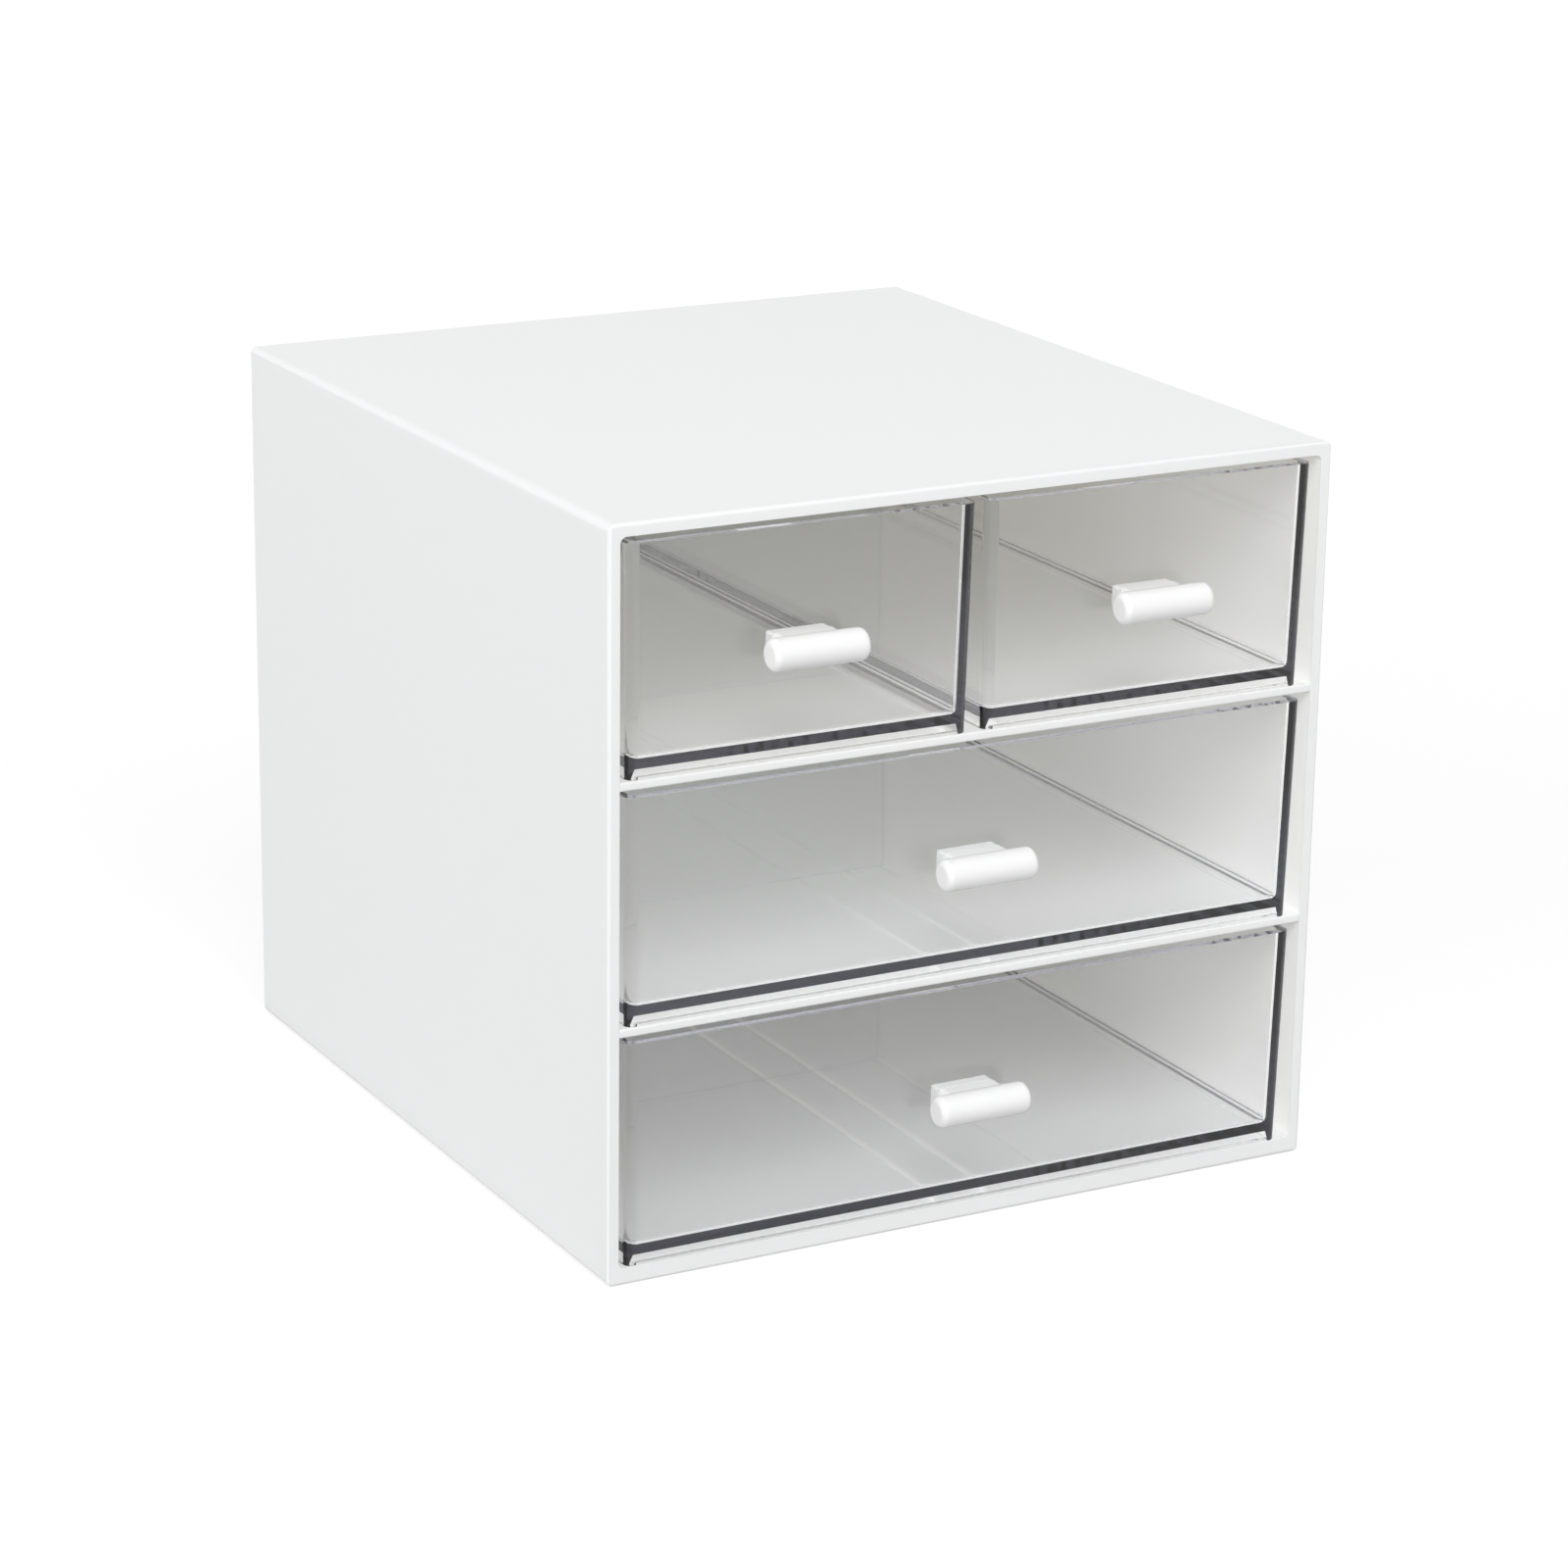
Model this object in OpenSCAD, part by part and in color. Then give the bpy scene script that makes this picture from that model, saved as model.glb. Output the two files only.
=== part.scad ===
// Desktop mini drawers: a small plastic cabinet with three bays of equal height.
// Two half-width drawers stand side by side in the top bay, and one full-width drawer fills each
// bay below. Every drawer is a clear tapered tray with a handle that snaps through its front.
// Frame: millimetres, +Z up, the drawers slide out towards -Y, and the origin is the middle of
// the cabinet's footprint.

/* [Cabinet] */
// Width of the cabinet over its side walls
cabinet_w = 180; // [140:1:260]
// Depth of the cabinet from its front edges to its rear edges
cabinet_d = 195; // [140:1:260]
// Clear height of each of the three bays
bay_h = 53; // [42:0.5:80]
// Thickness of each side wall
side_wall = 2.8; // [2.4:0.1:4]
// Thickness of the top wall
top_wall = 3; // [2.2:0.1:5]
// Thickness of the bottom wall
bottom_wall = 4; // [2.2:0.1:6]
// Rounding of the cabinet's outer edges that run from front to back
edge_r = 2; // [1:0.1:2.5]
// Rounding of the outer edges around the cabinet's front and back
rim_r = 1; // [0.5:0.1:1.5]
// Rounding of the opening's inner corners
inner_r = 1.5; // [0.5:0.1:1.5]

/* [Back panel] */
// Thickness of the back panel
back_t = 2; // [1.5:0.1:3]
// Distance from the cabinet's rear edges in to the back panel
back_inset = 1; // [0:0.1:3]
// Depth to which the back panel's rebate is cut into the walls
rebate = 1.2; // [0.8:0.1:1.4]

/* [Shelves] */
// Thickness of a shelf
shelf_t = 2; // [1.6:0.1:4]
// Depth of the groove in each side wall that holds a shelf's edge
groove_depth = 1.2; // [0.8:0.1:1.6]
// Distance from the cabinet's front edges to the front end of a groove
groove_setback = 8; // [4:0.5:30]

/* [Guide ribs] */
// Width of a guide rib
rib_w = 1.2; // [0.8:0.1:2]
// Height of a guide rib above its bay's floor
rib_h = 0.8; // [0.5:0.1:1.2]
// Distance from the cabinet's front edges to the front end of a rib
rib_setback = 2.3; // [2.3:0.1:20]
// Length of the ramp at a rib's front end
rib_ramp = 1.5; // [0.5:0.1:5]
// Clearance between a rib and the nearest drawer runner
rib_clearance = 0.3; // [0.2:0.1:1]

/* [Drawers] */
// Clearance on each side of a drawer at its rim
side_clearance = 2; // [1.4:0.1:4]
// Clearance over a drawer's rim
top_clearance = 1.2; // [0.6:0.1:3]
// Clearance under a drawer's runners
runner_clearance = 0.3; // [0.2:0.05:0.6]
// Clearance behind a drawer's rim
back_clearance = 3; // [1:0.1:15]
// Gap between the two half-width drawers at their rims
half_gap = 2.4; // [1.6:0.1:5]
// Sideways rest position of the drawers in their bays
drawer_bias = -1.2; // [-1.2:0.1:1.2]
// How far a drawer's rim stands in front of the cabinet
rim_proud = 1.3; // [0.8:0.1:2]
// Width by which each drawer wall flares out from its foot to its rim
flare_w = 0.8; // [0.4:0.1:1.2]
// Thickness of a drawer's walls
wall = 2; // [1.6:0.1:2.6]
// Thickness of a drawer's floor
floor_t = 1.9; // [1.4:0.1:3]
// Height of the runners under a drawer's floor
runner_h = 2.1; // [1.6:0.1:4]
// Width of a runner at its foot
runner_foot = 1.8; // [1.4:0.1:2.2]
// Width of a runner where it meets the floor
runner_root = 2.4; // [1.6:0.1:3.2]
// Distance from the runners' feet up to the front wall's lower edge
front_lift = 0.6; // [0.3:0.1:1.5]
// Rounding of a drawer's upright outer corners
corner_r = 2.2; // [1.5:0.1:4]
// Rounding of a drawer's upright inner corners
pocket_r = 1.6; // [0.8:0.1:4]

/* [Handles] */
// Diameter of a handle's bar
bar_d = 7.3; // [5:0.1:10]
// Length of a handle's bar
bar_l = 23; // [18:0.5:60]
// Rounding of the bar's ends
bar_r = 1.5; // [0.4:0.1:2]
// Distance from a drawer's front wall to the axis of its bar
bar_reach = 6.1; // [5:0.1:15]
// Height of the bar's axis above the runners' feet
bar_z = 25.5; // [12:0.5:32]
// Width of the neck that carries the bar
neck_w = 15.2; // [8:0.1:16]
// Height of the neck
neck_h = 5.6; // [4:0.1:9]
// Rounding of the neck's edges that run to the front wall
neck_r = 1.5; // [0.3:0.1:1.8]
// Shoulder of the neck around its tenon
shoulder = 1; // [0.4:0.1:1.5]
// Clearance around the tenon in its slot
tenon_fit = 0.1; // [0.05:0.05:0.2]
// Thickness of the flange that holds the handle from inside
flange_t = 2.6; // [0.6:0.1:3]
// Overlap of the flange beyond the slot's ends
flange_lip = 0.4; // [0.3:0.05:2]
// Overlap of the flange above and below the slot
flange_rise = 0.5; // [0.1:0.05:1]

/* [Hidden] */

$fn = 48;
// Facets in a full circle of a drawer's tapered corner
taper_fn = 32;
// Height of the thin slices that a tapered block is stretched between
slice = 0.01;
// How far a cut runs past the face that it opens
cut = 1;

WHITE = [0.96, 0.96, 0.95];
SMOKE = [0.45, 0.45, 0.5, 0.45];

BAY_COUNT = 3;
BOTTOM_INDEX = 0;
TOP_INDEX = BAY_COUNT - 1;
MIDDLE_INDEX = TOP_INDEX - 1;

opening_w = cabinet_w - 2 * side_wall;
opening_h = BAY_COUNT * bay_h + (BAY_COUNT - 1) * shelf_t;
cabinet_h = bottom_wall + opening_h + top_wall;
front_y = -cabinet_d / 2;
rear_y = cabinet_d / 2;
panel_y = rear_y - back_inset - back_t;

// Height of a bay's floor
function bay_z(bay) = bottom_wall + bay * (bay_h + shelf_t);

drawer_h = bay_h - top_clearance - runner_clearance;
drawer_d = rim_proud + cabinet_d - back_inset - back_t - back_clearance;
wide_w = opening_w - 2 * side_clearance;
half_w = (wide_w - half_gap) / 2;
half_x = (half_w + half_gap) / 2;
drawer_y = front_y - rim_proud + drawer_d / 2;
lean = atan(flare_w / drawer_h);

// A rib stands outside the half-width drawers' inner runners, wherever these rest
rib_x = half_gap / 2 + flare_w + runner_root + abs(drawer_bias) + rib_clearance + rib_w / 2;

tenon_w = neck_w - 2 * shoulder;
tenon_h = neck_h - 2 * shoulder;
// The front wall's thickness measured square to its leaning face
front_t = wall * cos(lean);
// Y of a drawer's front face at its bar's height, from the drawer's own middle
face_y = -drawer_d / 2 + flare_w * (drawer_h - bar_z) / drawer_h;

// A centred rectangle with round corners
module rounded_rect(w, h, r) {
    square([w - 2 * r, h], center = true);
    square([w, h - 2 * r], center = true);
    for (x = [-1, 1], y = [-1, 1])
        translate([x * (w / 2 - r), y * (h / 2 - r)])
            circle(r);
}

// A block on z = 0 with its edges along Y rounded by r and all the others by rim
module rounded_block(w, d, h, r, rim) {
    intersection() {
        linear_extrude(h)
            rounded_rect(w, d, rim);
        translate([0, d / 2, h / 2])
            rotate([90, 0, 0])
                linear_extrude(d)
                    rounded_rect(w, h, r);
        translate([-w / 2, 0, h / 2])
            rotate([90, 0, 90])
                linear_extrude(w)
                    rounded_rect(d, h, rim);
    }
}

// The cabinet's opening grown by a margin, as a prism from y0 to y1
module opening_prism(margin, y0, y1) {
    translate([0, y1, bottom_wall + opening_h / 2])
        rotate([90, 0, 0])
            linear_extrude(y1 - y0)
                rounded_rect(opening_w + 2 * margin, opening_h + 2 * margin, inner_r + margin);
}

// The two guide ribs of a bay, on its floor and running back to the back panel
module guide_ribs(bay) {
    rib_l = panel_y - front_y - rib_setback;
    for (side = [-1, 1])
        translate([side * rib_x - rib_w / 2, front_y + rib_setback, bay_z(bay)])
            rotate([90, 0, 90])
                linear_extrude(rib_w)
                    polygon([[0, 0], [rib_l, 0], [rib_l, rib_h], [rib_ramp, rib_h]]);
}

// The space that a shelf takes under a bay: its plate and the edges held in the grooves
module shelf_plate(bay) {
    z = bay_z(bay) - shelf_t;
    held_w = opening_w + 2 * groove_depth;
    translate([-opening_w / 2, front_y, z])
        cube([opening_w, panel_y - front_y, shelf_t]);
    translate([-held_w / 2, front_y + groove_setback, z])
        cube([held_w, panel_y - front_y - groove_setback, shelf_t]);
}

module cabinet_shell() {
    color(WHITE) {
        difference() {
            rounded_block(cabinet_w, cabinet_d, cabinet_h, edge_r, rim_r);
            opening_prism(0, front_y - cut, rear_y + cut);
            opening_prism(rebate, panel_y, rear_y + cut);
            shelf_plate(MIDDLE_INDEX);
            shelf_plate(TOP_INDEX);
        }
        guide_ribs(BOTTOM_INDEX);
    }
}

module back_panel() {
    color(WHITE)
        opening_prism(rebate, panel_y, panel_y + back_t);
}

module shelf(bay) {
    color(WHITE) {
        shelf_plate(bay);
        guide_ribs(bay);
    }
}

module shelf_upper() {
    shelf(TOP_INDEX);
}

module shelf_lower() {
    shelf(MIDDLE_INDEX);
}

// Width or depth of a drawer at height z, from its size at the rim
function taper(rim, z) = rim - 2 * flare_w * (drawer_h - z) / drawer_h;

// A thin slice of a drawer of rim width w at height z, set in from its outer faces
module taper_slice(w, inset, r, z) {
    translate([0, 0, z])
        linear_extrude(slice)
            rounded_rect(taper(w, z) - 2 * inset, taper(drawer_d, z) - 2 * inset, r, $fn = taper_fn);
}

// A block between two heights that follows the lean of a drawer's walls
module taper_block(w, inset, r, z0, z1) {
    hull() {
        taper_slice(w, inset, r, z0);
        taper_slice(w, inset, r, z1 - slice);
    }
}

// Moves children to the middle of the front wall's outer face at the bar's height, leaning with it
module on_front() {
    translate([0, face_y, bar_z])
        rotate([lean, 0, 0])
            children();
}

// A block centred in x and z between two distances behind the front wall's outer face
module front_block(w, h, y0, y1) {
    translate([-w / 2, y0, -h / 2])
        cube([w, y1 - y0, h]);
}

// The section between a drawer's runners, whose inner faces slope from root to foot
module runner_gap(foot_x, root_x) {
    polygon([
        [-foot_x, -cut], [foot_x, -cut], [foot_x, 0],
        [root_x, runner_h], [-root_x, runner_h], [-foot_x, 0]
    ]);
}

// A drawer of rim width w, with its runners' feet on z = 0 and its middle at the origin
module drawer(w) {
    foot_x = taper(w, 0) / 2 - runner_foot;
    root_x = taper(w, 0) / 2 - runner_root;
    front_inside = -taper(drawer_d, 0) / 2 + wall;
    color(SMOKE)
        difference() {
            taper_block(w, 0, corner_r, 0, drawer_h);
            taper_block(w, wall, pocket_r, runner_h + floor_t, drawer_h + cut);
            translate([0, drawer_d, 0])
                rotate([90, 0, 0])
                    linear_extrude(drawer_d - front_inside)
                        runner_gap(foot_x, root_x);
            translate([0, 0, front_lift - runner_h])
                rotate([90, 0, 0])
                    linear_extrude(drawer_d)
                        runner_gap(foot_x, root_x);
            on_front()
                front_block(tenon_w + 2 * tenon_fit, tenon_h + 2 * tenon_fit, -cut, wall + cut);
        }
}

// A handle in its drawer's own frame
module handle() {
    flange_w = tenon_w + 2 * (tenon_fit + flange_lip);
    flange_h = tenon_h + 2 * (tenon_fit + flange_rise);
    color(WHITE)
        on_front() {
            translate([0, -bar_reach, 0])
                handle_bar();
            handle_neck();
            front_block(tenon_w, tenon_h, -cut, front_t + flange_t);
            front_block(flange_w, flange_h, front_t, front_t + flange_t);
        }
}

// The round bar along X, turned with rounded ends
module handle_bar() {
    rotate([0, 90, 0])
        rotate_extrude()
            bar_profile();
}

// The neck from the bar's axis to the front wall
module handle_neck() {
    rotate([90, 0, 0])
        linear_extrude(bar_reach)
            rounded_rect(neck_w, neck_h, neck_r);
}

// Half of the bar's lengthwise section, from its axis out
module bar_profile() {
    radius = bar_d / 2;
    half_l = bar_l / 2;
    translate([0, -half_l])
        square([radius - bar_r, bar_l]);
    translate([0, -half_l + bar_r])
        square([radius, bar_l - 2 * bar_r]);
    for (end = [-1, 1])
        translate([radius - bar_r, end * (half_l - bar_r)])
            circle(bar_r);
}

// Moves a drawer or its handle to its place in a bay, x from the middle of the drawers
module in_bay(bay, x) {
    translate([drawer_bias + x, drawer_y, bay_z(bay) + runner_clearance])
        children();
}

module drawer_top_left() {
    in_bay(TOP_INDEX, -half_x)
        drawer(half_w);
}

module drawer_top_right() {
    in_bay(TOP_INDEX, half_x)
        drawer(half_w);
}

module drawer_middle() {
    in_bay(MIDDLE_INDEX, 0)
        drawer(wide_w);
}

module drawer_bottom() {
    in_bay(BOTTOM_INDEX, 0)
        drawer(wide_w);
}

module handle_top_left() {
    in_bay(TOP_INDEX, -half_x)
        handle();
}

module handle_top_right() {
    in_bay(TOP_INDEX, half_x)
        handle();
}

module handle_middle() {
    in_bay(MIDDLE_INDEX, 0)
        handle();
}

module handle_bottom() {
    in_bay(BOTTOM_INDEX, 0)
        handle();
}

cabinet_shell();
back_panel();
shelf_upper();
shelf_lower();
drawer_top_left();
drawer_top_right();
drawer_middle();
drawer_bottom();
handle_top_left();
handle_top_right();
handle_middle();
handle_bottom();
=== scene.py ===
"""Visual model of a white desktop cabinet with clear mini drawers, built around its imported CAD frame.

All sizes are in metres, in the frame of the CAD model: +Z up, and the drawers slide out towards -Y.
"""

import logging
import math
from collections.abc import Callable
from dataclasses import dataclass, field, replace
from enum import Enum

import bmesh
import bpy
from mathutils import Matrix, Vector


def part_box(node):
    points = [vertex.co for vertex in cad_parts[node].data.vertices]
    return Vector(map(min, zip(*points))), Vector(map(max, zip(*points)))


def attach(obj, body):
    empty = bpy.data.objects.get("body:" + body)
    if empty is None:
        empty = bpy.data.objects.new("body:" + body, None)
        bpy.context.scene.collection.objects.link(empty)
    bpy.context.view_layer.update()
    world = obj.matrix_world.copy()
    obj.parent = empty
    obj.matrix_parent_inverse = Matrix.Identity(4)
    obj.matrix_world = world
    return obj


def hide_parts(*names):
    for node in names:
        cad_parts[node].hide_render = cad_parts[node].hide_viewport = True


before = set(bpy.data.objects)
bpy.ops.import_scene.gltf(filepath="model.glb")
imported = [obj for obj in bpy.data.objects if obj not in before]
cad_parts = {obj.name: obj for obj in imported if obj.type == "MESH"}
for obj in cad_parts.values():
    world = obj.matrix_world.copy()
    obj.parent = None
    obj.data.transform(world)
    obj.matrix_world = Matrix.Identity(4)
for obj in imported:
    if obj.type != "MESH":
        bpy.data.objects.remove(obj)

LOG = logging.getLogger("mini_drawers")

# Two corners closer than TOUCH count as one place, and doubled corners within MERGE become one.
TOUCH = 1e-5
MERGE = 1e-6
# Share of an edge's length that has to run along Z in an upright edge.
UPRIGHT = 0.9
# Places of the colour sockets on a Mix node: the two inputs and the output.
MIX_LOW, MIX_HIGH, MIX_COLOUR = 6, 7, 2

Colour = tuple[float, float, float]
Place = tuple[float, float, float]
EdgeTest = Callable[[bmesh.types.BMEdge], bool]

BLACK: Colour = (0.0, 0.0, 0.0)
WHITE: Colour = (1.0, 1.0, 1.0)


class Bay(Enum):
    """The places in the cabinet that hold a drawer each."""

    TOP_LEFT = "top_left"
    TOP_RIGHT = "top_right"
    MIDDLE = "middle"
    BOTTOM = "bottom"

    @property
    def body(self) -> str:
        """The CAD body, and the clear tray's node, of this bay's drawer."""
        return f"drawer_{self.value}"

    @property
    def handle(self) -> str:
        """The node of this bay's handle."""
        return f"handle_{self.value}"


class Slot(Enum):
    """The record's material slots."""

    CABINET = "cabinet_white"
    CLEAR = "drawer_clear"
    HANDLE = "handle_white"


# ---------------------------------------------------------------------------------------------
# Modelling steps
# ---------------------------------------------------------------------------------------------


def deselect() -> None:
    """Leaves edit mode and clears the selection."""
    if bpy.context.mode != "OBJECT":
        bpy.ops.object.mode_set(mode="OBJECT")
    bpy.ops.object.select_all(action="DESELECT")


def activate(piece: bpy.types.Object) -> None:
    """Makes a piece the only selected and active one.

    Args:
        piece: The object to work on.
    """
    deselect()
    piece.select_set(True)
    bpy.context.view_layer.objects.active = piece


def bake_place(piece: bpy.types.Object) -> None:
    """Moves a piece's place, turn and scale into its mesh.

    Args:
        piece: The object whose own transform is cleared.
    """
    activate(piece)
    bpy.ops.object.transform_apply(location=True, rotation=True, scale=True)


def add_block(name: str, low: Vector, high: Vector) -> bpy.types.Object:
    """Adds a block between two corners, as the start of a piece.

    Args:
        name: Name of the new object.
        low: Its lowest corner.
        high: Its highest corner.

    Returns:
        The new block, with its place in its mesh.
    """
    deselect()
    bpy.ops.mesh.primitive_cube_add(size=1.0, location=(low + high) / 2, scale=high - low)
    piece = bpy.context.object
    piece.name = piece.data.name = name
    bake_place(piece)
    return piece


def select_edges(piece: bpy.types.Object, wanted: EdgeTest) -> bool:
    """Enters edit mode and selects the edges that pass a test.

    Args:
        piece: The mesh to select in.
        wanted: The test on an edge.

    Returns:
        Whether any edge was selected.
    """
    activate(piece)
    bpy.ops.object.mode_set(mode="EDIT")
    bpy.ops.mesh.select_all(action="DESELECT")
    bpy.ops.mesh.select_mode(type="EDGE")
    mesh = bmesh.from_edit_mesh(piece.data)
    found = [edge for edge in mesh.edges if wanted(edge)]
    for edge in found:
        edge.select_set(True)
    bmesh.update_edit_mesh(piece.data)
    return bool(found)


def round_edges(piece: bpy.types.Object, wanted: EdgeTest, radius: float, segments: int) -> None:
    """Rounds the edges that pass a test.

    Args:
        piece: The mesh to work on.
        wanted: The test on an edge.
        radius: Radius of the rounding.
        segments: Facets across the rounding.
    """
    if select_edges(piece, wanted):
        bpy.ops.mesh.bevel(offset=radius, segments=segments, affect="EDGES", clamp_overlap=True)
    bpy.ops.object.mode_set(mode="OBJECT")


def tidy_mesh(piece: bpy.types.Object) -> None:
    """Merges doubled corners and turns all faces outwards."""
    activate(piece)
    bpy.ops.object.mode_set(mode="EDIT")
    bpy.ops.mesh.select_all(action="SELECT")
    bpy.ops.mesh.remove_doubles(threshold=MERGE)
    bpy.ops.mesh.normals_make_consistent(inside=False)
    bpy.ops.object.mode_set(mode="OBJECT")


def scale_end(piece: bpy.types.Object, height: float, factor: Place, centre: Place) -> None:
    """Scales the corners of a block that lie at one height.

    Args:
        piece: The block.
        height: Z of the corners.
        factor: Scale along X, Y and Z.
        centre: The fixed point of the scaling.
    """
    activate(piece)
    bpy.ops.object.mode_set(mode="EDIT")
    bpy.ops.mesh.select_mode(type="VERT")
    bpy.ops.mesh.select_all(action="DESELECT")
    mesh = bmesh.from_edit_mesh(piece.data)
    for vertex in mesh.verts:
        vertex.select_set(abs(vertex.co.z - height) < TOUCH)
    bmesh.update_edit_mesh(piece.data)
    bpy.ops.transform.resize(value=factor, center_override=centre)
    bpy.ops.object.mode_set(mode="OBJECT")


def is_upright(edge: bmesh.types.BMEdge) -> bool:
    """Whether an edge runs mostly along Z."""
    run = edge.verts[0].co - edge.verts[1].co
    return abs(run.z) > UPRIGHT * run.length


def crosses_x(edge: bmesh.types.BMEdge) -> bool:
    """Whether an edge lies square to X."""
    return abs((edge.verts[0].co - edge.verts[1].co).x) < TOUCH


def runs_along_y(edge: bmesh.types.BMEdge) -> bool:
    """Whether an edge of a straight block runs along Y."""
    return abs((edge.verts[0].co - edge.verts[1].co).y) > TOUCH


def lies_at(height: float) -> EdgeTest:
    """A test for edges that lie at one height."""
    return lambda edge: all(abs(vertex.co.z - height) < TOUCH for vertex in edge.verts)


def combine(piece: bpy.types.Object, other: bpy.types.Object, operation: str) -> None:
    """Cuts a solid from a piece, or joins it on, and removes the solid.

    Args:
        piece: The piece that stays.
        other: The solid that is used up.
        operation: DIFFERENCE or UNION.
    """
    activate(piece)
    cut = piece.modifiers.new("combine", "BOOLEAN")
    cut.operation = operation
    cut.solver = "EXACT"
    cut.object = other
    bpy.ops.object.modifier_apply(modifier=cut.name)
    spent = other.data
    bpy.data.objects.remove(other)
    bpy.data.meshes.remove(spent)


def soften(piece: bpy.types.Object, width: float, segments: int = 2, limit: float = 35.0) -> None:
    """Rounds a piece's sharp edges lightly, and keeps its large faces flat in shading.

    Args:
        piece: The piece to finish.
        width: Width of the rounding.
        segments: Facets across the rounding.
        limit: Angle between faces, in degrees, past which an edge is rounded.
    """
    activate(piece)
    bpy.ops.object.shade_smooth()
    rounding = piece.modifiers.new("soft_edges", "BEVEL")
    rounding.width = width
    rounding.segments = segments
    rounding.limit_method = "ANGLE"
    rounding.angle_limit = math.radians(limit)
    rounding.use_clamp_overlap = True
    rounding.miter_outer = "MITER_ARC"
    normals = piece.modifiers.new("flat_faces", "WEIGHTED_NORMAL")
    normals.keep_sharp = False


def apply_modifiers(piece: bpy.types.Object) -> None:
    """Applies all of a piece's modifiers in their order."""
    activate(piece)
    for modifier in list(piece.modifiers):
        bpy.ops.object.modifier_apply(modifier=modifier.name)


# ---------------------------------------------------------------------------------------------
# Shared shader effects
# ---------------------------------------------------------------------------------------------


def add_node(
    tree: bpy.types.NodeTree, kind: str, values: dict[str, object] | None = None, **settings: object
) -> bpy.types.Node:
    """Adds a shader node.

    Args:
        tree: The tree to add to.
        kind: The node's type.
        values: Values of its input sockets by name.
        **settings: Values of the node's own properties.

    Returns:
        The new node.
    """
    node = tree.nodes.new(kind)
    for name, value in settings.items():
        setattr(node, name, value)
    for name, value in (values or {}).items():
        node.inputs[name].default_value = value
    return node


def begin_group(
    name: str, inputs: dict[str, float], outputs: tuple[str, ...]
) -> tuple[bpy.types.NodeTree, bpy.types.Node, bpy.types.Node]:
    """Starts a shader node group with number sockets.

    Args:
        name: The group's name.
        inputs: Names and defaults of its inputs.
        outputs: Names of its outputs.

    Returns:
        The group, its input node and its output node.
    """
    group = bpy.data.node_groups.new(name, "ShaderNodeTree")
    for label, default in inputs.items():
        socket = group.interface.new_socket(label, in_out="INPUT", socket_type="NodeSocketFloat")
        socket.default_value = default
    for label in outputs:
        group.interface.new_socket(label, in_out="OUTPUT", socket_type="NodeSocketFloat")
    return group, add_node(group, "NodeGroupInput"), add_node(group, "NodeGroupOutput")


def moulded_grain() -> bpy.types.NodeTree:
    """Builds the fine texture of moulded plastic with the broad unevenness of its cooling.

    Returns:
        A group with the outputs Height, for a bump, and Mottle, from 0 to 1.
    """
    group, given, made = begin_group(
        "moulded_grain", {"Grain Scale": 2500.0, "Mottle Scale": 12.0}, ("Height", "Mottle")
    )
    place = add_node(group, "ShaderNodeTexCoord")
    grain = add_node(group, "ShaderNodeTexNoise", {"Detail": 2.0, "Roughness": 0.6})
    mottle = add_node(group, "ShaderNodeTexNoise", {"Detail": 3.0, "Roughness": 0.5, "Distortion": 0.4})
    group.links.new(place.outputs["Object"], grain.inputs["Vector"])
    group.links.new(place.outputs["Object"], mottle.inputs["Vector"])
    group.links.new(given.outputs["Grain Scale"], grain.inputs["Scale"])
    group.links.new(given.outputs["Mottle Scale"], mottle.inputs["Scale"])
    group.links.new(grain.outputs["Fac"], made.inputs["Height"])
    group.links.new(mottle.outputs["Fac"], made.inputs["Mottle"])
    return group


def edge_wear() -> bpy.types.NodeTree:
    """Builds the mask of the edges that hands and drawers rub smooth.

    Returns:
        A group with the output Mask, 1 on a rubbed edge.
    """
    group, given, made = begin_group("edge_wear", {"Width": 0.0008, "Amount": 1.0}, ("Mask",))
    surface = add_node(group, "ShaderNodeNewGeometry")
    rounded = add_node(group, "ShaderNodeBevel", samples=4)
    facing = add_node(group, "ShaderNodeVectorMath", operation="DOT_PRODUCT")
    turned = add_node(group, "ShaderNodeMath", {0: 1.0}, operation="SUBTRACT", use_clamp=True)
    place = add_node(group, "ShaderNodeTexCoord")
    patches = add_node(group, "ShaderNodeTexNoise", {"Scale": 220.0, "Detail": 3.0})
    broken = add_node(group, "ShaderNodeMath", operation="MULTIPLY")
    amount = add_node(group, "ShaderNodeMath", operation="MULTIPLY", use_clamp=True)
    group.links.new(given.outputs["Width"], rounded.inputs["Radius"])
    group.links.new(surface.outputs["Normal"], facing.inputs[0])
    group.links.new(rounded.outputs["Normal"], facing.inputs[1])
    group.links.new(facing.outputs["Value"], turned.inputs[1])
    group.links.new(place.outputs["Object"], patches.inputs["Vector"])
    group.links.new(turned.outputs["Value"], broken.inputs[0])
    group.links.new(patches.outputs["Fac"], broken.inputs[1])
    group.links.new(broken.outputs["Value"], amount.inputs[0])
    group.links.new(given.outputs["Amount"], amount.inputs[1])
    group.links.new(amount.outputs["Value"], made.inputs["Mask"])
    return group


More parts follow.
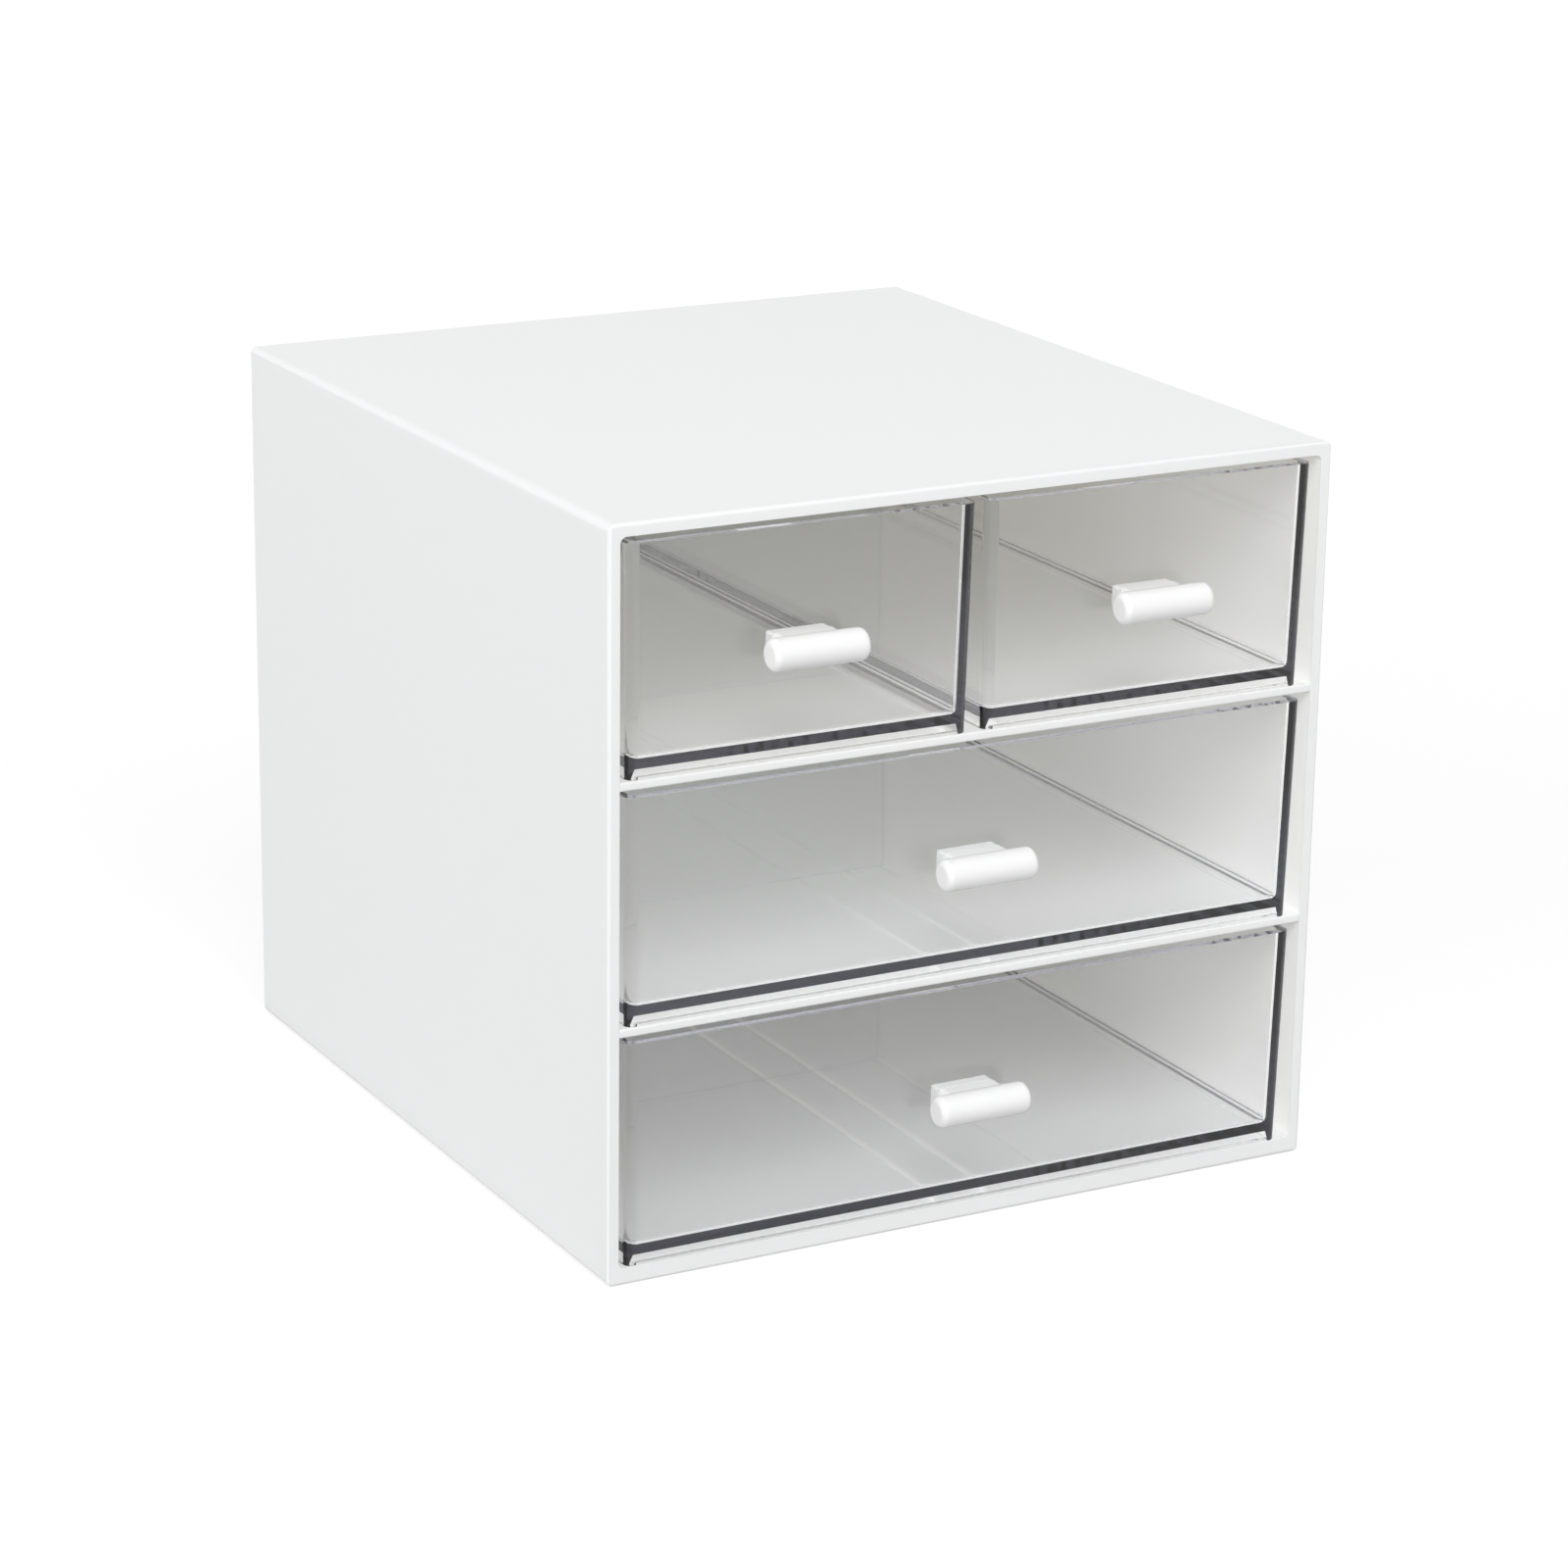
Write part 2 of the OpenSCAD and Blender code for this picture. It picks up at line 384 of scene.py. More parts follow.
def painted_inner_glow() -> bpy.types.NodeTree:
    """Builds the mask of the painted glow on the cabinet's inner faces, which stands in for light from
    outside coming through the thin walls.

    Returns:
        A group with the output Mask, which rises from 0 at the cabinet's front edges to 1 inside.
    """
    bounds = {
        "Half Width": 0.0873,
        "Bottom": 0.0045,
        "Top": 0.1675,
        "Front": -0.0975,
        "Fade": 0.001,
        "Back": 0.0935,
    }
    group, given, made = begin_group("painted_inner_glow", bounds, ("Mask",))
    place = add_node(group, "ShaderNodeTexCoord")
    axes = add_node(group, "ShaderNodeSeparateXYZ")
    aside = add_node(group, "ShaderNodeMath", operation="ABSOLUTE")
    full = add_node(group, "ShaderNodeMath", operation="ADD")
    depth = add_node(group, "ShaderNodeMapRange", interpolation_type="SMOOTHSTEP")
    group.links.new(place.outputs["Object"], axes.inputs["Vector"])
    group.links.new(axes.outputs["X"], aside.inputs[0])
    group.links.new(given.outputs["Front"], full.inputs[0])
    group.links.new(given.outputs["Fade"], full.inputs[1])
    group.links.new(axes.outputs["Y"], depth.inputs["Value"])
    group.links.new(given.outputs["Front"], depth.inputs["From Min"])
    group.links.new(full.outputs["Value"], depth.inputs["From Max"])
    limits = (
        ("LESS_THAN", aside.outputs["Value"], "Half Width"),
        ("GREATER_THAN", axes.outputs["Z"], "Bottom"),
        ("LESS_THAN", axes.outputs["Z"], "Top"),
        ("LESS_THAN", axes.outputs["Y"], "Back"),
    )
    mask = depth.outputs["Result"]
    for operation, value, limit in limits:
        test = add_node(group, "ShaderNodeMath", operation=operation)
        both = add_node(group, "ShaderNodeMath", operation="MULTIPLY")
        group.links.new(value, test.inputs[0])
        group.links.new(given.outputs[limit], test.inputs[1])
        group.links.new(mask, both.inputs[0])
        group.links.new(test.outputs["Value"], both.inputs[1])
        mask = both.outputs["Value"]
    group.links.new(mask, made.inputs["Mask"])
    return group


@dataclass(frozen=True)
class Effects:
    """The shader groups that several finishes share."""

    grain: bpy.types.NodeTree = field(default_factory=moulded_grain)
    wear: bpy.types.NodeTree = field(default_factory=edge_wear)
    # Mask of the painted glow on the cabinet's inner faces.
    painted_glow_mask: bpy.types.NodeTree = field(default_factory=painted_inner_glow)


# ---------------------------------------------------------------------------------------------
# Finishes
# ---------------------------------------------------------------------------------------------


def begin_material(
    name: str,
) -> tuple[bpy.types.Material, bpy.types.NodeTree, bpy.types.Node, bpy.types.Node]:
    """Starts a material with an empty Principled shader.

    Args:
        name: The material's name.

    Returns:
        The material, its node tree, its Principled node and its output node.
    """
    material = bpy.data.materials.new(name)
    material.use_nodes = True
    tree = material.node_tree
    tree.nodes.clear()
    shader = add_node(tree, "ShaderNodeBsdfPrincipled")
    output = add_node(tree, "ShaderNodeOutputMaterial")
    tree.links.new(shader.outputs["BSDF"], output.inputs["Surface"])
    return material, tree, shader, output


def link_blend(
    tree: bpy.types.NodeTree,
    factor: bpy.types.NodeSocket,
    low: float,
    high: float,
    target: bpy.types.NodeSocket,
) -> None:
    """Feeds a number that goes from low to high with a mask.

    Args:
        tree: The material's node tree.
        factor: The mask, from 0 to 1.
        low: The number where the mask is 0.
        high: The number where the mask is 1.
        target: The socket that takes the number.
    """
    blend = add_node(tree, "ShaderNodeMapRange", {"To Min": low, "To Max": high})
    tree.links.new(factor, blend.inputs["Value"])
    tree.links.new(blend.outputs["Result"], target)


def link_colours(
    tree: bpy.types.NodeTree,
    factor: bpy.types.NodeSocket,
    low: Colour,
    high: Colour,
    target: bpy.types.NodeSocket,
) -> None:
    """Feeds a colour that goes from low to high with a mask.

    Args:
        tree: The material's node tree.
        factor: The mask, from 0 to 1.
        low: The colour where the mask is 0.
        high: The colour where the mask is 1.
        target: The socket that takes the colour.
    """
    blend = add_node(tree, "ShaderNodeMix", data_type="RGBA")
    blend.inputs[MIX_LOW].default_value = (*low, 1.0)
    blend.inputs[MIX_HIGH].default_value = (*high, 1.0)
    tree.links.new(factor, blend.inputs["Factor"])
    tree.links.new(blend.outputs[MIX_COLOUR], target)


@dataclass(frozen=True)
class WhitePlastic:
    """Opaque white moulded plastic, from satin to gloss, whose inner faces may carry a faint painted glow
    that stands in for light coming through the walls.
    """

    name: str
    colour: Colour
    pale: Colour
    roughness: tuple[float, float]
    grain_scale: float
    grain_depth: float
    wear_width: float
    # Strength of the painted glow on the inner faces, 0 for none.
    glow: float = 0.0
    painted_glow_colour: Colour = WHITE
    bump_strength: float = 0.5
    ior: float = 1.49

    def material(self, effects: Effects) -> bpy.types.Material:
        """Builds the material.

        Args:
            effects: The shared shader groups.

        Returns:
            The finished material.
        """
        material, tree, shader, _ = begin_material(self.name)
        grain = add_node(tree, "ShaderNodeGroup", node_tree=effects.grain)
        grain.inputs["Grain Scale"].default_value = self.grain_scale
        wear = add_node(tree, "ShaderNodeGroup", node_tree=effects.wear)
        wear.inputs["Width"].default_value = self.wear_width
        link_colours(tree, grain.outputs["Mottle"], self.colour, self.pale, shader.inputs["Base Color"])
        sheen = add_node(tree, "ShaderNodeMath", operation="SUBTRACT", use_clamp=True)
        tree.links.new(grain.outputs["Mottle"], sheen.inputs[0])
        tree.links.new(wear.outputs["Mask"], sheen.inputs[1])
        link_blend(tree, sheen.outputs["Value"], *self.roughness, shader.inputs["Roughness"])
        relief = {"Strength": self.bump_strength, "Distance": self.grain_depth}
        bump = add_node(tree, "ShaderNodeBump", relief)
        tree.links.new(grain.outputs["Height"], bump.inputs["Height"])
        tree.links.new(bump.outputs["Normal"], shader.inputs["Normal"])
        shader.inputs["IOR"].default_value = self.ior
        # Painted glow: the inner faces emit a faint light that stands in for light coming through the thin
        # walls.
        if self.glow:
            painted_glow_mask = add_node(tree, "ShaderNodeGroup", node_tree=effects.painted_glow_mask)
            emission = shader.inputs["Emission Color"]
            link_colours(tree, painted_glow_mask.outputs["Mask"], BLACK, self.painted_glow_colour, emission)
            shader.inputs["Emission Strength"].default_value = self.glow
        return material


@dataclass(frozen=True)
class ClearPlastic:
    """Polished clear plastic with a faint smoke tint that deepens with its thickness."""

    name: str
    tint: Colour = (0.10, 0.10, 0.24)
    density: float = 9.5
    ior: float = 1.53
    colour: Colour = (0.995, 0.995, 0.998)
    roughness: tuple[float, float] = (0.0, 0.035)
    grain_scale: float = 90.0
    mottle_scale: float = 45.0
    lets_through: Colour = (0.997, 0.997, 0.996)

    def material(self, effects: Effects) -> bpy.types.Material:
        """Builds the material.

        Args:
            effects: The shared shader groups.

        Returns:
            The finished material.
        """
        material, tree, shader, output = begin_material(self.name)
        shader.inputs["Transmission Weight"].default_value = 1.0
        shader.inputs["IOR"].default_value = self.ior
        grain = add_node(tree, "ShaderNodeGroup", node_tree=effects.grain)
        grain.inputs["Grain Scale"].default_value = self.grain_scale
        grain.inputs["Mottle Scale"].default_value = self.mottle_scale
        link_colours(tree, grain.outputs["Mottle"], self.colour, WHITE, shader.inputs["Base Color"])
        link_blend(tree, grain.outputs["Mottle"], *self.roughness, shader.inputs["Roughness"])
        body = add_node(tree, "ShaderNodeVolumeAbsorption", {"Density": self.density})
        body.inputs["Color"].default_value = (*self.tint, 1.0)
        tree.links.new(body.outputs["Volume"], output.inputs["Volume"])
        self.let_light_through(tree, shader, output)
        return material

    def let_light_through(
        self, tree: bpy.types.NodeTree, shader: bpy.types.Node, output: bpy.types.Node
    ) -> None:
        """Lets lamp light and light from dull surfaces pass straight through, with each face's loss.

        Args:
            tree: The material's node tree.
            shader: The Principled node, which shows the plastic itself.
            output: The material's output node.
        """
        path = add_node(tree, "ShaderNodeLightPath")
        either = add_node(tree, "ShaderNodeMath", operation="MAXIMUM")
        passed = add_node(tree, "ShaderNodeBsdfTransparent", {"Color": (*self.lets_through, 1.0)})
        mix = add_node(tree, "ShaderNodeMixShader")
        tree.links.new(path.outputs["Is Shadow Ray"], either.inputs[0])
        tree.links.new(path.outputs["Is Diffuse Ray"], either.inputs[1])
        tree.links.new(either.outputs["Value"], mix.inputs["Fac"])
        tree.links.new(shader.outputs["BSDF"], mix.inputs[1])
        tree.links.new(passed.outputs["BSDF"], mix.inputs[2])
        tree.links.new(mix.outputs["Shader"], output.inputs["Surface"])


def dress(piece: bpy.types.Object, material: bpy.types.Material) -> None:
    """Gives a piece one material all over.

    Args:
        piece: The mesh to dress.
        material: Its material.
    """
    piece.data.materials.clear()
    piece.data.materials.append(material)


# ---------------------------------------------------------------------------------------------
# Cabinet
# ---------------------------------------------------------------------------------------------


@dataclass
class Cabinet:
    """The white shell with its back panel and two shelves, all rigid CAD nodes.

    The limits are angles between faces, in degrees: edges past sharp_limit are rounded, and faces within
    flat_limit count as one.
    """

    wall_finish: bpy.types.Material
    shelf_finish: bpy.types.Material
    edge_width: float = 0.0004
    edge_segments: int = 3
    sharp_limit: float = 35.0
    flat_limit: float = 0.5
    walls: tuple[str, ...] = ("cabinet_shell", "back_panel")
    shelves: tuple[str, ...] = ("shelf_upper", "shelf_lower")

    def build(self) -> None:
        """Dresses the cabinet's nodes and softens their edges."""
        for names, finish in ((self.walls, self.wall_finish), (self.shelves, self.shelf_finish)):
            for name in names:
                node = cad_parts[name]
                dress(node, finish)
                self.soften_node(node)
                LOG.info("dressed %s", name)

    def soften_node(self, node: bpy.types.Object) -> None:
        """Rounds a node's sharp edges with live modifiers.

        Args:
            node: The CAD node, whose own mesh stays as it is.
        """
        weld = node.modifiers.new("weld", "WELD")
        weld.merge_threshold = TOUCH
        flat = node.modifiers.new("flat", "DECIMATE")
        flat.decimate_type = "DISSOLVE"
        flat.angle_limit = math.radians(self.flat_limit)
        rounding = node.modifiers.new("soft_edges", "BEVEL")
        rounding.width = self.edge_width
        rounding.segments = self.edge_segments
        rounding.limit_method = "ANGLE"
        rounding.angle_limit = math.radians(self.sharp_limit)
        node.modifiers.new("flat_faces", "WEIGHTED_NORMAL")


# ---------------------------------------------------------------------------------------------
# Drawers
# ---------------------------------------------------------------------------------------------


@dataclass
class ClearDrawer:
    """A clear tapered tray that slides on two runners, one along each side wall."""

    bay: Bay
    finish: bpy.types.Material
    flare: float = 0.0008
    wall: float = 0.0020
    floor: float = 0.0019
    runner_height: float = 0.0021
    runner_foot: float = 0.0018
    runner_root: float = 0.0024
    front_lift: float = 0.0006
    corner: float = 0.0022
    pocket_corner: float = 0.0016
    pocket_fillet: float = 0.0015
    edge_width: float = 0.00025
    slot_size: tuple[float, float] = (0.0134, 0.0038)
    slot_height: float = 0.0255
    slot_reach: float = 0.004
    corner_segments: int = 6
    over: float = 0.001

    def __post_init__(self) -> None:
        """Takes the tray's outer box from its CAD node."""
        low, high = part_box(self.bay.body)
        self.low, self.high = Vector(low), Vector(high)
        self.middle = (self.low + self.high) / 2
        self.height = self.high.z - self.low.z

    @property
    def lean(self) -> float:
        """Angle in radians by which each wall leans outwards."""
        return math.atan(self.flare / self.height)

    def half_size(self, rise: float, inset: float = 0.0) -> Vector:
        """Half of the tray's width and depth at a height.

        Args:
            rise: Height above the runners' feet.
            inset: Distance in from the outer faces.

        Returns:
            Half the width, half the depth, and 0.
        """
        shrink = self.flare * (self.height - rise) / self.height + inset
        return Vector((self.high.x - self.middle.x - shrink, self.high.y - self.middle.y - shrink, 0.0))

    def leaning_block(self, name: str, inset: float, rises: tuple[float, float]) -> bpy.types.Object:
        """Makes a block between two heights that follows the lean of the walls.

        Args:
            name: Name of the new object.
            inset: Distance in from the outer faces.
            rises: Heights of its two ends above the runners' feet.

        Returns:
            The block.
        """
        foot, top = (self.half_size(rise, inset) for rise in rises)
        base = Vector((self.middle.x, self.middle.y, self.low.z))
        low, high = base + Vector((0, 0, rises[0])), base + Vector((0, 0, rises[1]))
        piece = add_block(name, low - top, high + top)
        scale_end(piece, low.z, (foot.x / top.x, foot.y / top.y, 1.0), tuple(low))
        return piece

    def sloped_gap(self, name: str, rise: float, front: float, back: float) -> bpy.types.Object:
        """Makes the solid that fills the space between the runners, up to a height.

        Args:
            name: Name of the new object.
            rise: Height of its top above the runners' feet.
            front: Y of its front end.
            back: Y of its rear end.

        Returns:
            The solid, with sides that slope in from the foot to the root.
        """
        half_foot = self.half_size(0.0).x - self.runner_foot
        half_root = self.half_size(0.0).x - self.runner_root
        depth = self.runner_height + self.over
        half_low = half_root + (half_foot - half_root) * depth / self.runner_height
        top = self.low.z + rise
        low = Vector((self.middle.x - half_root, front, top - depth))
        piece = add_block(name, low, Vector((self.middle.x + half_root, back, top)))
        centre = (self.middle.x, (front + back) / 2, low.z)
        scale_end(piece, low.z, (half_low / half_root, 1.0, 1.0), centre)
        return piece

    def tray(self) -> bpy.types.Object:
        """Makes the tray's walls, floor and runners.

        Returns:
            The tray with plain sharp edges.
        """
        tray = self.leaning_block(f"clear_tray_{self.bay.value}", 0.0, (0.0, self.height))
        round_edges(tray, is_upright, self.corner, self.corner_segments)
        floor_top = self.runner_height + self.floor
        pocket = self.leaning_block("pocket", self.wall, (floor_top, self.height + self.over))
        round_edges(pocket, is_upright, self.pocket_corner, self.corner_segments)
        round_edges(pocket, lies_at(self.low.z + floor_top), self.pocket_fillet, self.corner_segments)
        combine(tray, pocket, "DIFFERENCE")
        inside = self.middle.y - self.half_size(0.0).y + self.wall
        back, front = self.high.y + self.over, self.low.y - self.over
        combine(tray, self.sloped_gap("gap", self.runner_height, inside, back), "DIFFERENCE")
        combine(tray, self.sloped_gap("lift", self.front_lift, front, inside + self.over), "DIFFERENCE")
        return tray

    def cut_slot(self, tray: bpy.types.Object) -> None:
        """Cuts the slot that the handle snaps through.

        Args:
            tray: The tray to cut.
        """
        half = Vector((self.slot_size[0] / 2, self.slot_reach, self.slot_size[1] / 2))
        slot = add_block("slot", -half, half)
        slot.matrix_world = self.front_place
        bake_place(slot)
        combine(tray, slot, "DIFFERENCE")

    @property
    def front_place(self) -> Matrix:
        """The place and lean of the front wall's outer face at the handle's height."""
        front = self.middle.y - self.half_size(self.slot_height).y
        face = Vector((self.middle.x, front, self.low.z + self.slot_height))
        return Matrix.Translation(face) @ Matrix.Rotation(self.lean, 4, "X")

    def build(self) -> None:
        """Builds the tray and puts it on its body."""
        tray = self.tray()
        self.cut_slot(tray)
        soften(tray, self.edge_width)
        apply_modifiers(tray)
        dress(tray, self.finish)
        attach(tray, self.bay.body)
        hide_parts(self.bay.body)
        LOG.info("built %s", tray.name)


# ---------------------------------------------------------------------------------------------
# Handles
# ---------------------------------------------------------------------------------------------


@dataclass
class BarHandle:
    """The white handle: a round bar on a neck, with a flange that holds it inside the front wall.

    Edges past sharp_limit, an angle in degrees, are rounded.
    """

    finish: bpy.types.Material
    bar_radius: float = 0.00364
    bar_length: float = 0.023
    bar_end: float = 0.0015
    reach: float = 0.0061
    neck: tuple[float, float] = (0.0152, 0.0056)
    neck_corner: float = 0.0015
    tenon: tuple[float, float] = (0.0132, 0.0036)
    tenon_corner: float = 0.0003
    flange: tuple[float, float] = (0.0142, 0.0048)
    flange_corner: float = 0.0005
    flange_thickness: float = 0.0026
    wall: float = 0.0020
    overlap: float = 0.0005
    play: float = 0.00002
    edge_width: float = 0.00015
    sharp_limit: float = 40.0
    round_segments: int = 64
    end_segments: int = 8
    corner_segments: int = 6

    def across(
        self, name: str, size: tuple[float, float], front: float, back: float, corner: float
    ) -> bpy.types.Object:
        """Makes a block centred on the handle's axis between two distances behind the front wall's face.

        Args:
            name: Name of the new object.
            size: Its width and height.
            front: Y of its front end.
            back: Y of its rear end.
            corner: Rounding of its edges along Y.

        Returns:
            The block.
        """
        low = Vector((-size[0] / 2, front, -size[1] / 2))
        block = add_block(name, low, Vector((size[0] / 2, back, size[1] / 2)))
        round_edges(block, runs_along_y, corner, self.corner_segments)
        return block

    def bar(self, name: str) -> bpy.types.Object:
        """Makes the round bar with its rounded ends.

        Args:
            name: Name of the new object.

        Returns:
            The bar, along X.
        """
        deselect()
        bpy.ops.mesh.primitive_cylinder_add(
            vertices=self.round_segments,
            radius=self.bar_radius,
            depth=self.bar_length,
            location=(0.0, -self.reach, 0.0),
            rotation=(0.0, math.pi / 2, 0.0),
        )
        bar = bpy.context.object
        bar.name = bar.data.name = name
        bake_place(bar)
        round_edges(bar, crosses_x, self.bar_end, self.end_segments)
        return bar

    def model(self) -> bpy.types.Object:
        """Makes one handle at the origin, its front wall's outer face being Y 0.

        Returns:
            The handle.
        """
        inside = self.wall + self.play
        back = self.wall + self.flange_thickness
        handle = self.bar("handle_model")
        neck = self.across("neck", self.neck, -self.reach, -self.play, self.neck_corner)
        tenon = self.across("tenon", self.tenon, -self.overlap, back - self.overlap, self.tenon_corner)
        flange = self.across("flange", self.flange, inside, back, self.flange_corner)
        for part in (neck, tenon, flange):
            combine(handle, part, "UNION")
        tidy_mesh(handle)
        soften(handle, self.edge_width, limit=self.sharp_limit)
        apply_modifiers(handle)
        dress(handle, self.finish)
        return handle

    def fit(self, model: bpy.types.Object, drawer: ClearDrawer) -> None:
        """Copies the handle into a drawer's front.

        Args:
            model: The handle at the origin.
            drawer: The drawer that it snaps into.
        """
        copy = model.copy()
        copy.data = model.data.copy()
        copy.name = copy.data.name = f"bar_{drawer.bay.handle}"
        bpy.context.collection.objects.link(copy)
        copy.matrix_world = drawer.front_place
        bake_place(copy)
        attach(copy, drawer.bay.body)
        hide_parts(drawer.bay.handle)
        LOG.info("fitted %s", copy.name)

    def build(self, drawers: list[ClearDrawer]) -> None:
        """Models the handle once and fits a copy to each drawer.

        Args:
            drawers: The drawers that take a handle.
        """
        model = self.model()
        for drawer in drawers:
            self.fit(model, drawer)
        bpy.data.objects.remove(model)


# ---------------------------------------------------------------------------------------------
# Studio
# ---------------------------------------------------------------------------------------------


@dataclass(frozen=True)
class SoftBox:
    """A large square lamp aimed at the cabinet, with its power in watts.

    Without glints it lights the surfaces and shows in none of them.
    """

    name: str
    place: Place
    size: float
    power: float
    glints: bool = True

    def build(self, target: Vector) -> None:
        """Adds the lamp.

        Args:
            target: The point that it faces.
        """
        light = bpy.data.lights.new(self.name, "AREA")
        light.shape = "SQUARE"
        light.size = self.size
        light.energy = self.power
        lamp = bpy.data.objects.new(self.name, light)
        bpy.context.collection.objects.link(lamp)
        lamp.location = self.place
        lamp.rotation_mode = "QUATERNION"
        lamp.rotation_quaternion = (target - lamp.location).to_track_quat("-Z", "Y")
        lamp.visible_camera = False
        lamp.visible_glossy = self.glints


@dataclass
class Studio:
    """The camera, a white floor, an even white surround and large soft lamps.

    The camera's heading, dip and roll are in degrees, and its lens and sensor in millimetres. The floor's
    own glow rises from floor_glow to 1 between the two distances of floor_fade.
    """

    camera_place: Place = (-0.501746, -0.931133, 0.403705)
    heading: float = 28.551582
    dip: float = 17.272844
    roll: float = 0.780542
    lens: float = 106.94446
    sensor: float = 36.0
    clip: tuple[float, float] = (0.01, 50.0)
    target: Place = (0.0, 0.0, 0.08)
    floor_size: float = 16.0
    floor_colour: Colour = (0.45, 0.45, 0.45)
    floor_shown: Colour = (0.4, 0.4, 0.4)
    floor_glow: float = 0.67
    floor_fade: tuple[float, float] = (0.5, 2.5)
    surround: float = 0.435
    diffuse_bounces: int = 8
    plastic_bounces: int = 32
    clear_faces: int = 16
    lamps: tuple[SoftBox, ...] = (
        SoftBox("high_softbox", (-0.66, -2.46, 2.6), size=1.8, power=37.0),
        SoftBox("key_softbox", (-2.2, -2.2, 1.9), size=1.8, power=22.0),
        SoftBox("left_softbox", (-3.4, -0.6, 1.2), size=2.4, power=40.0),
        SoftBox("right_softbox", (1.5, -2.9, 1.0), size=1.8, power=15.0, glints=False),
        SoftBox("rear_softbox", (3.0, 2.4, 0.9), size=1.6, power=44.0, glints=False),
    )

    def camera(self) -> None:
        """Adds the camera and makes it the scene's own."""
        data = bpy.data.cameras.new("camera")
        data.lens = self.lens
        data.sensor_width = self.sensor
        data.clip_start, data.clip_end = self.clip
        camera = bpy.data.objects.new("camera", data)
        bpy.context.collection.objects.link(camera)
        turn = Matrix.Rotation(math.radians(-self.heading), 4, "Z")
        tilt = Matrix.Rotation(math.radians(90.0 - self.dip), 4, "X")
        twist = Matrix.Rotation(math.radians(self.roll), 4, "Z")
        camera.matrix_world = Matrix.Translation(self.camera_place) @ turn @ tilt @ twist
        bpy.context.scene.camera = camera

    def seen_directly(self, tree: bpy.types.NodeTree) -> bpy.types.NodeSocket:
        """Adds the mask of rays that show the surround: camera, glossy and transmission rays.

        Args:
            tree: The tree to add to.

        Returns:
            The mask's socket.
        """
        path = add_node(tree, "ShaderNodeLightPath")
        either = add_node(tree, "ShaderNodeMath", operation="MAXIMUM")
        any_of = add_node(tree, "ShaderNodeMath", operation="MAXIMUM")
        tree.links.new(path.outputs["Is Camera Ray"], either.inputs[0])
        tree.links.new(path.outputs["Is Glossy Ray"], either.inputs[1])
        tree.links.new(either.outputs["Value"], any_of.inputs[0])
        tree.links.new(path.outputs["Is Transmission Ray"], any_of.inputs[1])
        return any_of.outputs["Value"]

    def world(self) -> None:
        """Makes the surround: white where it is seen, and a little softer as a light."""
        world = bpy.data.worlds.new("surround")
        world.use_nodes = True
        tree = world.node_tree
        tree.nodes.clear()
        white = (*WHITE, 1.0)
        shown = add_node(tree, "ShaderNodeBackground", {"Color": white, "Strength": 1.0})
        light = add_node(tree, "ShaderNodeBackground", {"Color": white, "Strength": self.surround})
        mix = add_node(tree, "ShaderNodeMixShader")
        output = add_node(tree, "ShaderNodeOutputWorld")
        tree.links.new(self.seen_directly(tree), mix.inputs["Fac"])
        tree.links.new(light.outputs["Background"], mix.inputs[1])
        tree.links.new(shown.outputs["Background"], mix.inputs[2])
        tree.links.new(mix.outputs["Shader"], output.inputs["Surface"])
        world.cycles.sampling_method = "NONE"
        bpy.context.scene.world = world

    def floor_glow_by_distance(self, tree: bpy.types.NodeTree) -> bpy.types.Node:
        """Adds the floor's own glow, which grows to full white away from the cabinet.

        Args:
            tree: The floor's node tree.

        Returns:
            The glow's shader node.
        """
        near, far = self.floor_fade
        place = add_node(tree, "ShaderNodeTexCoord")
        reach = add_node(tree, "ShaderNodeVectorMath", operation="LENGTH")
        rise = {"From Min": near, "From Max": far, "To Min": self.floor_glow, "To Max": 1.0}
        fade = add_node(tree, "ShaderNodeMapRange", rise)
        glow = add_node(tree, "ShaderNodeEmission")
        tree.links.new(place.outputs["Object"], reach.inputs[0])
        tree.links.new(reach.outputs["Value"], fade.inputs["Value"])
        tree.links.new(fade.outputs["Result"], glow.inputs["Strength"])
        return glow

    def floor_material(self) -> bpy.types.Material:
        """Builds the floor's finish: a dull grey that lights the cabinet, seen as white with shadows.

        Returns:
            The finished material.
        """
        material = bpy.data.materials.new("floor_white")
        material.use_nodes = True
        tree = material.node_tree
        tree.nodes.clear()
        output = add_node(tree, "ShaderNodeOutputMaterial")
        lit = add_node(tree, "ShaderNodeBsdfDiffuse", {"Color": (*self.floor_colour, 1.0)})
        dim = add_node(tree, "ShaderNodeBsdfDiffuse", {"Color": (*self.floor_shown, 1.0)})
        glow = self.floor_glow_by_distance(tree)
        shown = add_node(tree, "ShaderNodeAddShader")
        mix = add_node(tree, "ShaderNodeMixShader")
        tree.links.new(dim.outputs["BSDF"], shown.inputs[0])
        tree.links.new(glow.outputs["Emission"], shown.inputs[1])
        tree.links.new(self.seen_directly(tree), mix.inputs["Fac"])
        tree.links.new(lit.outputs["BSDF"], mix.inputs[1])
        tree.links.new(shown.outputs["Shader"], mix.inputs[2])
        tree.links.new(mix.outputs["Shader"], output.inputs["Surface"])
        return material

    def floor(self) -> None:
        """Adds the white floor, which keeps the cabinet's faint shadow."""
        deselect()
        bpy.ops.mesh.primitive_plane_add(size=self.floor_size)
        floor = bpy.context.object
        floor.name = floor.data.name = "floor"
        dress(floor, self.floor_material())

    def build(self) -> None:
        """Builds the whole studio."""
        self.camera()
        self.world()
        self.floor()
        for lamp in self.lamps:
            lamp.build(Vector(self.target))
        scene = bpy.context.scene
        scene.view_settings.view_transform = "Standard"
        scene.cycles.diffuse_bounces = self.diffuse_bounces
        scene.cycles.max_bounces = self.plastic_bounces
        scene.cycles.transmission_bounces = self.plastic_bounces
        scene.cycles.glossy_bounces = self.plastic_bounces
        scene.cycles.transparent_max_bounces = self.clear_faces
        LOG.info("built the studio")


